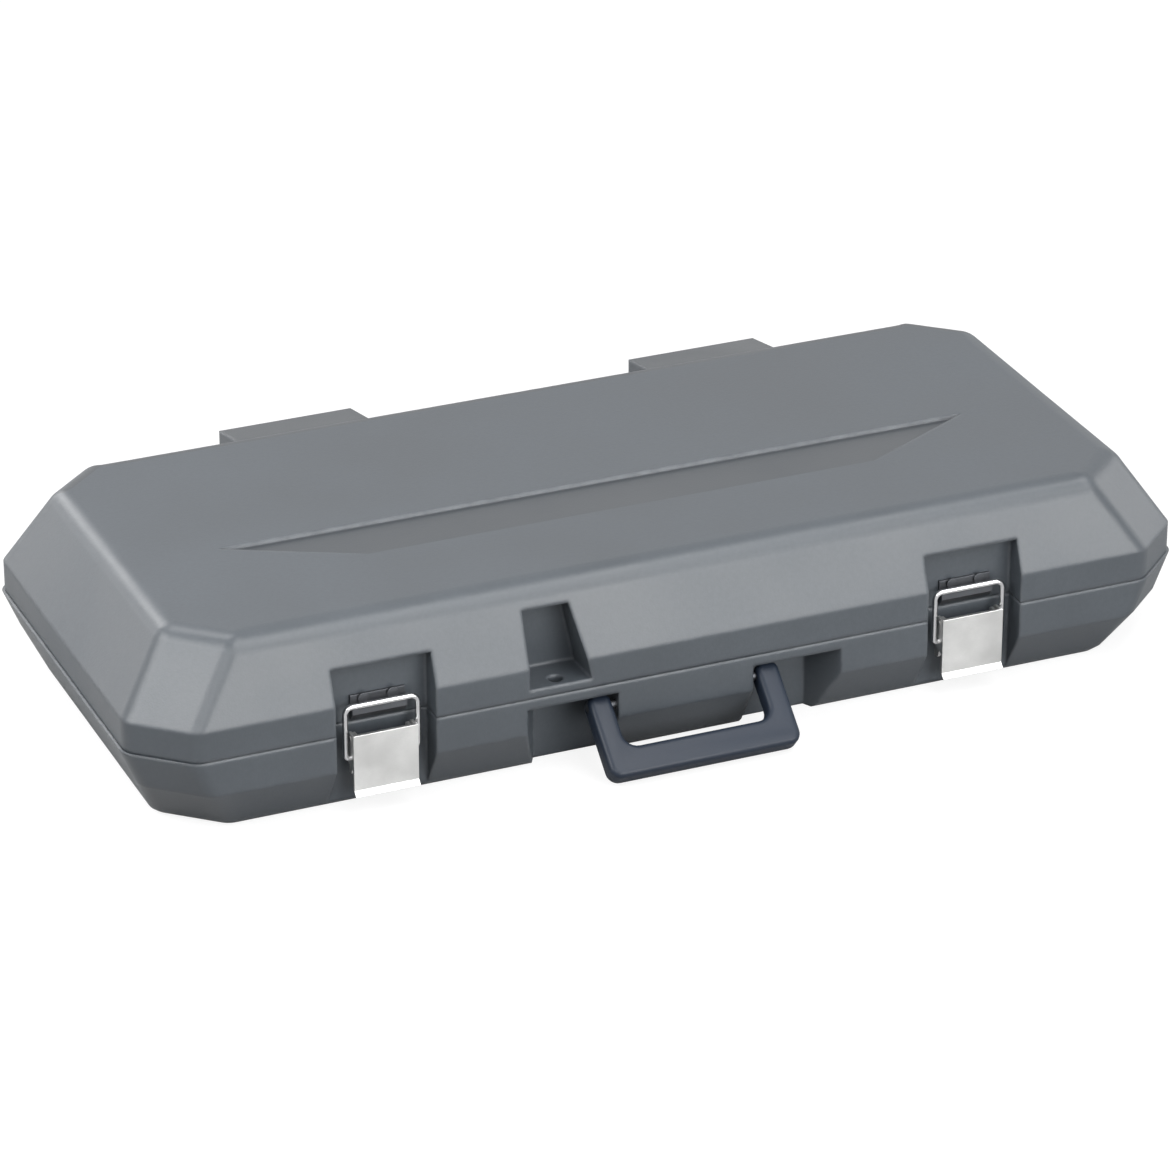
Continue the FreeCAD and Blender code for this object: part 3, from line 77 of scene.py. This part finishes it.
# Colours
CASE_GREY = (0.064, 0.074, 0.085)
CASE_GREY_WORN = (0.21, 0.225, 0.245)
HANDLE_NAVY = (0.012, 0.019, 0.033)
HANDLE_NAVY_WORN = (0.050, 0.062, 0.085)
TRAY_BLACK = (0.020, 0.021, 0.023)
TRAY_BLACK_WORN = (0.060, 0.062, 0.066)
LATCH_STEEL = (0.69, 0.69, 0.68)
WIRE_CHROME = (0.66, 0.66, 0.67)
FASTENER_STEEL = (0.52, 0.52, 0.52)
TOOL_CHROME = (0.40, 0.40, 0.41)
MECHANISM_STEEL = (0.30, 0.30, 0.31)
# Painted shade: the catches, their rivets and the handle pins take a dark steel in place of the shade they sit in
SHADE_PAINTED_STEEL = (0.115, 0.12, 0.13)
SHADE_PAINTED_NODES = (
    "latch_left_catch", "latch_right_catch", "catch_left_rivets", "catch_right_rivets", "handle_pins",
)

# Marks in the plastics: their sizes, the noise values between which they fade in, and their shares
CLOUD_SIZE = 110 * MILLIMETRE
CLOUD_FADE = (0.34, 0.66)
CLOUD_DARK = 0.91
CLOUD_PALE = 1.08
CLOUD_SWELL = 0.5
SPECK_GRAINS = 2.2
SPECK_FADE = (0.30, 0.70)
SPECK_SHARE = 0.28
SPECK_DARK = 0.72
SCUFF_SIZE = 6 * MILLIMETRE
SCUFF_STRETCH = (1.0, 6.0, 6.0)
SCUFF_FADE = (0.66, 0.78)
SCUFF_SHARE = 0.35
SCUFF_PALENESS = 0.45
RUB_SIZE = 12 * MILLIMETRE
RUB_FADE = (0.35, 0.62)
DULL_FADE = (0.35, 0.85)
PLASTIC_DULLING = 0.14
PLASTIC_INDEX = 1.5
GRAIN_DEPTH = 0.16
GRAIN_STRENGTH = 0.32
# Painted shade: upward faces that lean to the rear, such as the lid's wedge panel, are painted darker
SHADE_PAINT_LEAN = (0.02, 0.05)
SHADE_PAINT_UPRIGHT = (0.85, 0.95)

# Marks in the metals
SMUDGE_SIZE = 22 * MILLIMETRE
SMUDGE_FADE = (0.32, 0.70)
SMUDGE_DARK = 0.86
SMUDGE_PALE = 1.06
SMUDGE_DULL_FADE = (0.30, 0.75)
STEEL_DULLING = 0.10
BRUSH_FADE = (0.30, 0.70)
BRUSH_SHARE = 0.22
BRUSH_DARK = 0.70
BRUSH_DEPTH = 0.03 * MILLIMETRE
BRUSH_STRENGTH = 0.25
SCRATCH_SIZE = 4 * MILLIMETRE
SCRATCH_STRETCH = (9.0, 1.0, 3.0)
SCRATCH_FADE = (0.68, 0.74)
SCRATCH_DULLING = 0.12
SCRATCH_DEPTH = 0.6
EDGE_SHARE = 0.5
EDGE_PALE = 1.18

# Edges are found by how far the softened normal turns from the true one, as a cosine.
EDGE_FADE = (0.995, 0.90)
EDGE_SAMPLES = 6

# Studio
FLOOR_SIZE = 14.0
FLOOR_DROP = 0.4 * MILLIMETRE
FLOOR_GLOW = 0.84
FLOOR_SHOWN = 0.20
FLOOR_MIRRORED = 0.52
FLOOR_BOUNCED = 0.14
FILL_TINT = (0.93, 0.96, 1.0, 1.0)
FILL_STRENGTH = 0.10
WHITE = (1.0, 1.0, 1.0, 1.0)
LIGHT_AIM = (0.0, 0.0, 60 * MILLIMETRE)

# Sockets of Blender's colour mix, which it doesn't give names of their own
MIX_FIRST = 6
MIX_SECOND = 7
MIX_RESULT = 2


# Shader nodes

def new_tree(owner):
    owner.use_nodes = True
    tree = owner.node_tree
    tree.nodes.clear()
    return tree


def node(tree, kind, settings=None, **inputs):
    """A shader node; each input is a number, a colour or another node's output."""
    made = tree.nodes.new(kind)
    for name, value in (settings or {}).items():
        setattr(made, name, value)
    for name, value in inputs.items():
        feed(tree, find_socket(made, name), value)
    return made


def feed(tree, socket, value):
    if isinstance(value, bpy.types.NodeSocket):
        tree.links.new(value, socket)
    else:
        socket.default_value = value


def find_socket(made, name):
    """An enabled input socket by its name in lower case with underscores, or by its number after an n."""
    if name[0] == "n" and name[1:].isdigit():
        return made.inputs[int(name[1:])]
    for socket in made.inputs:
        if socket.enabled and socket.name.lower().replace(" ", "_") == name:
            return socket
    raise KeyError("%s has no input %s" % (made.bl_idname, name))


def math_node(tree, operation, first, second):
    return node(tree, "ShaderNodeMath", {"operation": operation}, n0=first, n1=second).outputs[0]


def multiply(tree, first, second):
    return math_node(tree, "MULTIPLY", first, second)


def ramp(tree, value, low, high, to_low=0.0, to_high=1.0):
    """A value taken from one range to another and held inside it."""
    made = node(tree, "ShaderNodeMapRange", {"clamp": True}, value=value, from_min=low, from_max=high,
                to_min=to_low, to_max=to_high)
    return made.outputs["Result"]


def mix_colours(tree, share, first, second):
    """The first colour, with the given share of the second; each is a colour or a node's output."""
    made = node(tree, "ShaderNodeMix", {"data_type": "RGBA", "clamp_factor": True}, n0=share)
    for index, value in ((MIX_FIRST, first), (MIX_SECOND, second)):
        feed(tree, made.inputs[index], (*value, 1.0) if isinstance(value, tuple) else value)
    return made.outputs[MIX_RESULT]


def scaled(colour, factor):
    return tuple(channel * factor for channel in colour)


def grey(level):
    return (level, level, level, 1.0)


def local_place(tree, stretch=(1.0, 1.0, 1.0)):
    """Object coordinates, stretched along the axes."""
    place = node(tree, "ShaderNodeTexCoord").outputs["Object"]
    return node(tree, "ShaderNodeMapping", vector=place, scale=stretch).outputs[0]


def noise(tree, place, size, detail=3.0, roughness=0.55):
    """Noise whose features are about the given size across."""
    made = node(tree, "ShaderNodeTexNoise", vector=place, scale=1.0 / size, detail=detail,
                roughness=roughness)
    return made.outputs["Fac"]


def edge_mask(tree, radius):
    """Near 1 along sharp edges, 0 on flat faces, and the softened normal that goes with it."""
    soft = node(tree, "ShaderNodeBevel", {"samples": EDGE_SAMPLES}, radius=radius).outputs[0]
    true = node(tree, "ShaderNodeNewGeometry").outputs["True Normal"]
    turn = node(tree, "ShaderNodeVectorMath", {"operation": "DOT_PRODUCT"}, n0=soft, n1=true)
    return ramp(tree, turn.outputs["Value"], *EDGE_FADE), soft


def bumps(tree, height, depth, strength, normal):
    made = node(tree, "ShaderNodeBump", height=height, distance=depth, strength=strength, normal=normal)
    return made.outputs[0]


def finish_surface(tree, shader):
    output = node(tree, "ShaderNodeOutputMaterial")
    tree.links.new(shader.outputs[0], output.inputs["Surface"])


# Materials

def painted_shade_leaning_back(tree):
    """1 on upward faces that lean to the rear, such as the lid's wedge panel, where shade is painted in; 0 on the
    rest.
    """
    normal = node(tree, "ShaderNodeTexCoord").outputs["Normal"]
    facing = node(tree, "ShaderNodeSeparateXYZ", vector=normal).outputs
    return multiply(tree, ramp(tree, facing["Y"], *SHADE_PAINT_LEAN), ramp(tree, facing["Z"], *SHADE_PAINT_UPRIGHT))


def moulded_plastic(name, colour, worn, grain, roughness, shine, edge, wear, panel=1.0):
    """Grained plastic with cloudy colour, fine scuffs, edges rubbed paler and painted shade on upward faces that
    lean to the rear.
    """
    material = bpy.data.materials.new(name)
    tree = new_tree(material)
    place = local_place(tree)
    cloud = noise(tree, place, CLOUD_SIZE, detail=4.0)
    speck = noise(tree, place, SPECK_GRAINS * grain, detail=2.0)
    streaks = noise(tree, local_place(tree, SCUFF_STRETCH), SCUFF_SIZE, detail=5.0, roughness=0.7)
    scuffs = ramp(tree, streaks, *SCUFF_FADE, to_high=SCUFF_SHARE)
    on_edge, soft = edge_mask(tree, edge)
    rubbed = multiply(tree, on_edge, ramp(tree, noise(tree, place, RUB_SIZE, detail=5.0), *RUB_FADE))

    clouds = ramp(tree, cloud, *CLOUD_FADE)
    specks = ramp(tree, speck, *SPECK_FADE, to_high=SPECK_SHARE)
    tone = mix_colours(tree, clouds, scaled(colour, CLOUD_DARK), scaled(colour, CLOUD_PALE))
    tone = mix_colours(tree, specks, tone, scaled(colour, SPECK_DARK))
    tone = mix_colours(tree, multiply(tree, scuffs, SCUFF_PALENESS), tone, worn)
    tone = mix_colours(tree, multiply(tree, rubbed, wear), tone, worn)
    # Painted shade on upward faces that lean to the rear
    tone = mix_colours(tree, painted_shade_leaning_back(tree), tone, scaled(colour, panel))

    dull = math_node(tree, "ADD", cloud, scuffs)
    dulled = ramp(tree, dull, *DULL_FADE, roughness, roughness + PLASTIC_DULLING)
    height = math_node(tree, "ADD", noise(tree, place, grain), multiply(tree, cloud, CLOUD_SWELL))
    normal = bumps(tree, height, GRAIN_DEPTH * grain, GRAIN_STRENGTH, soft)
    finish_surface(tree, node(tree, "ShaderNodeBsdfPrincipled", base_color=tone, ior=PLASTIC_INDEX,
                              specular_ior_level=shine, roughness=dulled, normal=normal))
    return material


def steel(name, colour, roughness, brush, stretch=(1.0, 1.0, 1.0), edge=0.4 * MILLIMETRE):
    """Bare or plated metal: brush lines, smudges, a few scratches and bright edges."""
    material = bpy.data.materials.new(name)
    tree = new_tree(material)
    smudge = noise(tree, local_place(tree), SMUDGE_SIZE, detail=4.0)
    lines = noise(tree, local_place(tree, stretch), brush, roughness=0.6)
    marks = noise(tree, local_place(tree, SCRATCH_STRETCH), SCRATCH_SIZE, detail=6.0, roughness=0.75)
    scratches = ramp(tree, marks, *SCRATCH_FADE)
    on_edge, soft = edge_mask(tree, edge)

    smudges = ramp(tree, smudge, *SMUDGE_FADE)
    brushed = ramp(tree, lines, *BRUSH_FADE, to_high=BRUSH_SHARE)
    tone = mix_colours(tree, smudges, scaled(colour, SMUDGE_DARK), scaled(colour, SMUDGE_PALE))
    tone = mix_colours(tree, brushed, tone, scaled(colour, BRUSH_DARK))
    tone = mix_colours(tree, multiply(tree, on_edge, EDGE_SHARE), tone, scaled(colour, EDGE_PALE))

    dulled = ramp(tree, smudge, *SMUDGE_DULL_FADE, roughness, roughness + STEEL_DULLING)
    dulled = math_node(tree, "ADD", dulled, multiply(tree, scratches, SCRATCH_DULLING))
    height = math_node(tree, "SUBTRACT", lines, multiply(tree, scratches, SCRATCH_DEPTH))
    normal = bumps(tree, height, BRUSH_DEPTH, BRUSH_STRENGTH, soft)
    finish_surface(tree, node(tree, "ShaderNodeBsdfPrincipled", base_color=tone, metallic=1.0,
                              roughness=dulled, normal=normal))
    return material


def make_materials():
    """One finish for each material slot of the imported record."""
    return {
        # panel=0.62 paints shade onto the case's upward faces that lean to the rear
        "case_plastic": moulded_plastic(
            "case_plastic_grained", CASE_GREY, CASE_GREY_WORN, grain=1.1 * MILLIMETRE, roughness=0.33,
            shine=0.6, edge=3.0 * MILLIMETRE, wear=0.30, panel=0.62),
        "handle_plastic": moulded_plastic(
            "handle_plastic_smooth", HANDLE_NAVY, HANDLE_NAVY_WORN, grain=0.7 * MILLIMETRE, roughness=0.40,
            shine=0.35, edge=0.8 * MILLIMETRE, wear=0.25),
        "tray_plastic": moulded_plastic(
            "tray_plastic_black", TRAY_BLACK, TRAY_BLACK_WORN, grain=1.4 * MILLIMETRE, roughness=0.42,
            shine=0.4, edge=0.8 * MILLIMETRE, wear=0.35),
        "latch_steel": steel(
            "latch_steel_satin", LATCH_STEEL, roughness=0.34, brush=1.5 * MILLIMETRE,
            stretch=(1.0, 1.0, 14.0)),
        "latch_wire": steel(
            "latch_wire_plated", WIRE_CHROME, roughness=0.16, brush=1.0 * MILLIMETRE, stretch=(4.0, 4.0, 4.0),
            edge=0.2 * MILLIMETRE),
        "fastener_steel": steel(
            "fastener_steel_turned", FASTENER_STEEL, roughness=0.30, brush=0.8 * MILLIMETRE,
            edge=0.2 * MILLIMETRE),
        "tool_chrome": steel(
            "tool_chrome_satin", TOOL_CHROME, roughness=0.27, brush=1.2 * MILLIMETRE,
            stretch=(1.0, 1.0, 6.0)),
        "mechanism_steel": steel(
            "mechanism_steel_ground", MECHANISM_STEEL, roughness=0.32, brush=1.0 * MILLIMETRE,
            stretch=(8.0, 1.0, 1.0)),
    }


def dress_frame(finishes):
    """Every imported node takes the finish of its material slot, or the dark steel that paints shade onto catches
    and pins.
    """
    # A dark steel paints the shade on catches, catch rivets and handle pins
    shade_painted_steel = steel("dark_steel_phosphated", SHADE_PAINTED_STEEL, roughness=0.42, brush=1.2 * MILLIMETRE)
    for subpart in frame["record"]["subparts"]:
        node_name = subpart["node"]
        finish = shade_painted_steel if node_name in SHADE_PAINTED_NODES else finishes[subpart["material_slot"]]
        piece = frame["nodes"][node_name]
        piece.data.materials.clear()
        piece.data.materials.append(finish)


# Carry handle

def new_object(name, shape):
    """An object in the scene with the given shape, which is used up."""
    mesh = bpy.data.meshes.new(name)
    shape.to_mesh(mesh)
    shape.free()
    made = bpy.data.objects.new(name, mesh)
    bpy.context.scene.collection.objects.link(made)
    return made


def rounded_outline(corners):
    """A closed outline through right-angled corners, each given as x, y and the radius of its arc."""
    places = [Vector((x, y, 0.0)) for x, y, _ in corners]
    points = []
    for index, (_, _, radius) in enumerate(corners):
        corner = places[index]
        before = (places[index - 1] - corner).normalized()
        after = (places[(index + 1) % len(places)] - corner).normalized()
        centre = corner + (before + after) * radius
        for step in range(CORNER_STEPS + 1):
            turn = math.pi / 2 * step / CORNER_STEPS
            points.append(centre - after * radius * math.cos(turn) - before * radius * math.sin(turn))
    return points


def handle_shape(half_width):
    """The U of the handle, lying flat about its pivots, with tight outer corners and rounded edges."""
    inner = half_width - HANDLE_LEG
    grip = HANDLE_GRIP - HANDLE_REACH
    corners = [
        (-half_width, -HANDLE_REACH, HANDLE_OUTER_CORNER),
        (half_width, -HANDLE_REACH, HANDLE_OUTER_CORNER),
        (half_width, HANDLE_EYE, HANDLE_EYE_CORNER),
        (inner, HANDLE_EYE, HANDLE_EYE_CORNER),
        (inner, grip, HANDLE_INNER_CORNER),
        (-inner, grip, HANDLE_INNER_CORNER),
        (-inner, HANDLE_EYE, HANDLE_EYE_CORNER),
        (-half_width, HANDLE_EYE, HANDLE_EYE_CORNER),
    ]
    shape = bmesh.new()
    lower = shape.faces.new([shape.verts.new(point) for point in rounded_outline(corners)])
    raised = bmesh.ops.extrude_face_region(shape, geom=[lower])["geom"]
    top = [item for item in raised if isinstance(item, bmesh.types.BMVert)]
    bmesh.ops.translate(shape, verts=top, vec=(0.0, 0.0, HANDLE_THICKNESS))
    bmesh.ops.recalc_face_normals(shape, faces=shape.faces)
    rims = [edge for edge in shape.edges if is_level(edge)]
    bmesh.ops.bevel(shape, geom=rims, offset=HANDLE_BEVEL, segments=BEVEL_STEPS, profile=0.5, affect="EDGES")
    shape.transform(Matrix.Translation((0.0, 0.0, -HANDLE_THICKNESS / 2)))
    return shape


def is_level(edge):
    first, second = edge.verts
    return abs(first.co.z - second.co.z) < HANDLE_THICKNESS / 2


def bore_along_x(piece, centre, length):
    """Cuts the hole of the pins through both arms of the handle."""
    shape = bmesh.new()
    place = Matrix.Translation(centre) @ Matrix.Rotation(math.pi / 2, 4, "Y")
    bmesh.ops.create_cone(shape, cap_ends=True, segments=BORE_SIDES, radius1=HANDLE_BORE_RADIUS,
                          radius2=HANDLE_BORE_RADIUS, depth=length, matrix=place)
    drill = new_object("drill", shape)
    cut = piece.modifiers.new("bore", "BOOLEAN")
    cut.operation = "DIFFERENCE"
    cut.solver = "EXACT"
    cut.object = drill
    evaluated = piece.evaluated_get(bpy.context.evaluated_depsgraph_get())
    bored = bpy.data.meshes.new_from_object(evaluated)
    bored.name = "swing_handle_bored"
    piece.modifiers.clear()
    piece.data = bored
    bpy.data.objects.remove(drill)


def make_handle(finish):
    """The handle of the photograph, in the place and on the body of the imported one."""
    half_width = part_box("carry_handle")[1].x
    pivot = next(joint for joint in frame["joints"] if joint["name"] == "handle_swing")["pos_m"]
    shape = handle_shape(half_width)
    shape.transform(Matrix.Translation(pivot) @ Matrix.Rotation(HANDLE_DROOP, 4, "X"))
    piece = new_object("swing_handle", shape)
    past_both_arms = 4 * half_width
    bore_along_x(piece, pivot, past_both_arms)
    piece.data.shade_smooth()
    piece.data.set_sharp_from_angle(angle=SHARP_ANGLE)
    piece.data.materials.append(finish)
    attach(piece, "handle")
    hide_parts("carry_handle")


# Studio

def make_floor():
    """A pale floor: white with a soft shadow to the camera, darker where it lights or mirrors in the case."""
    bpy.ops.mesh.primitive_plane_add(size=FLOOR_SIZE, location=(0.0, 0.0, -FLOOR_DROP))
    floor = bpy.context.object
    floor.name = "floor"
    material = bpy.data.materials.new("floor_pale")
    tree = new_tree(material)
    path = node(tree, "ShaderNodeLightPath").outputs
    bounced, mirrored, shaded = (
        node(tree, "ShaderNodeBsdfDiffuse", color=grey(level)).outputs[0]
        for level in (FLOOR_BOUNCED, FLOOR_MIRRORED, FLOOR_SHOWN))
    glow = node(tree, "ShaderNodeEmission", color=WHITE, strength=FLOOR_GLOW).outputs[0]
    shown = node(tree, "ShaderNodeAddShader", n0=glow, n1=shaded).outputs[0]
    in_mirror = math_node(tree, "MAXIMUM", path["Is Glossy Ray"], path["Is Transmission Ray"])
    unseen = node(tree, "ShaderNodeMixShader", n0=in_mirror, n1=bounced, n2=mirrored).outputs[0]
    finish_surface(tree, node(tree, "ShaderNodeMixShader", n0=path["Is Camera Ray"], n1=unseen, n2=shown))
    floor.data.materials.append(material)


def make_world():
    """White to camera, mirror and glass rays, and a faint fill light to the rest."""
    world = bpy.data.worlds.new("studio")
    bpy.context.scene.world = world
    tree = new_tree(world)
    path = node(tree, "ShaderNodeLightPath").outputs
    in_mirror = math_node(tree, "MAXIMUM", path["Is Glossy Ray"], path["Is Transmission Ray"])
    seen = math_node(tree, "MAXIMUM", path["Is Camera Ray"], in_mirror)
    fill = node(tree, "ShaderNodeBackground", color=FILL_TINT, strength=FILL_STRENGTH).outputs[0]
    white = node(tree, "ShaderNodeBackground", color=WHITE, strength=1.0).outputs[0]
    both = node(tree, "ShaderNodeMixShader", n0=seen, n1=fill, n2=white).outputs[0]
    output = node(tree, "ShaderNodeOutputWorld")
    tree.links.new(both, output.inputs["Surface"])


def softbox(name, direction, distance, size, brightness):
    """A rectangular lamp that faces the case, with its brightness as seen from there."""
    towards = Vector(direction).normalized()
    width, height = size
    lamp = bpy.data.lights.new(name, "AREA")
    lamp.shape = "RECTANGLE"
    lamp.size = width
    lamp.size_y = height
    lamp.energy = brightness * math.pi * width * height
    light = bpy.data.objects.new(name, lamp)
    light.location = Vector(LIGHT_AIM) + towards * distance
    light.rotation_mode = "QUATERNION"
    light.rotation_quaternion = towards.to_track_quat("Z", "Y")
    bpy.context.scene.collection.objects.link(light)


def make_lights():
    """Each lamp stands where a face or edge of the case mirrors it towards the photograph's camera."""
    # Front fillet of the lid
    softbox("overhead", (0.28, -0.28, 0.92), distance=2.4, size=(2.0, 0.45), brightness=7.0)
    # Top edge of the left front chamfer
    softbox("top_back", (-0.17, 0.32, 0.93), distance=2.4, size=(1.0, 0.75), brightness=6.0)
    # Front slope, and the lower part of the fillet
    softbox("front_low", (0.32, -0.91, 0.25), distance=3.0, size=(2.4, 1.2), brightness=6.4)
    softbox("front_high", (0.26, -0.64, 0.72), distance=3.0, size=(2.4, 1.2), brightness=3.4)
    # Left front chamfer, and its edge to the front slope
    softbox("front_left", (-0.40, -0.72, 0.56), distance=3.2, size=(1.8, 0.9), brightness=4.4)
    softbox("left_wide", (-0.80, -0.06, 0.60), distance=1.5, size=(1.2, 0.5), brightness=8.0)
    # Left end, and its top edge
    softbox("back_left", (-0.52, 0.84, 0.15), distance=3.0, size=(1.7, 0.9), brightness=2.0)
    softbox("back_edge", (-0.26, 0.86, 0.44), distance=3.0, size=(0.9, 0.9), brightness=7.0)
    # Right front chamfer
    softbox("right_side", (0.96, 0.10, 0.22), distance=2.6, size=(1.2, 1.0), brightness=2.2)


def make_camera():
    data = bpy.data.cameras.new("camera")
    data.sensor_width = SENSOR_MILLIMETRES
    data.lens = FOCAL_PIXELS / PHOTO_WIDTH_PIXELS * SENSOR_MILLIMETRES
    camera = bpy.data.objects.new("camera", data)
    camera.location = CAMERA_PLACE
    camera.rotation_euler = (math.pi / 2 - CAMERA_PITCH, 0.0, -CAMERA_YAW)
    bpy.context.scene.collection.objects.link(camera)
    bpy.context.scene.camera = camera


finishes = make_materials()
dress_frame(finishes)
make_handle(finishes["handle_plastic"])
make_floor()
make_world()
make_lights()
make_camera()
bpy.context.scene.view_settings.view_transform = "Standard"
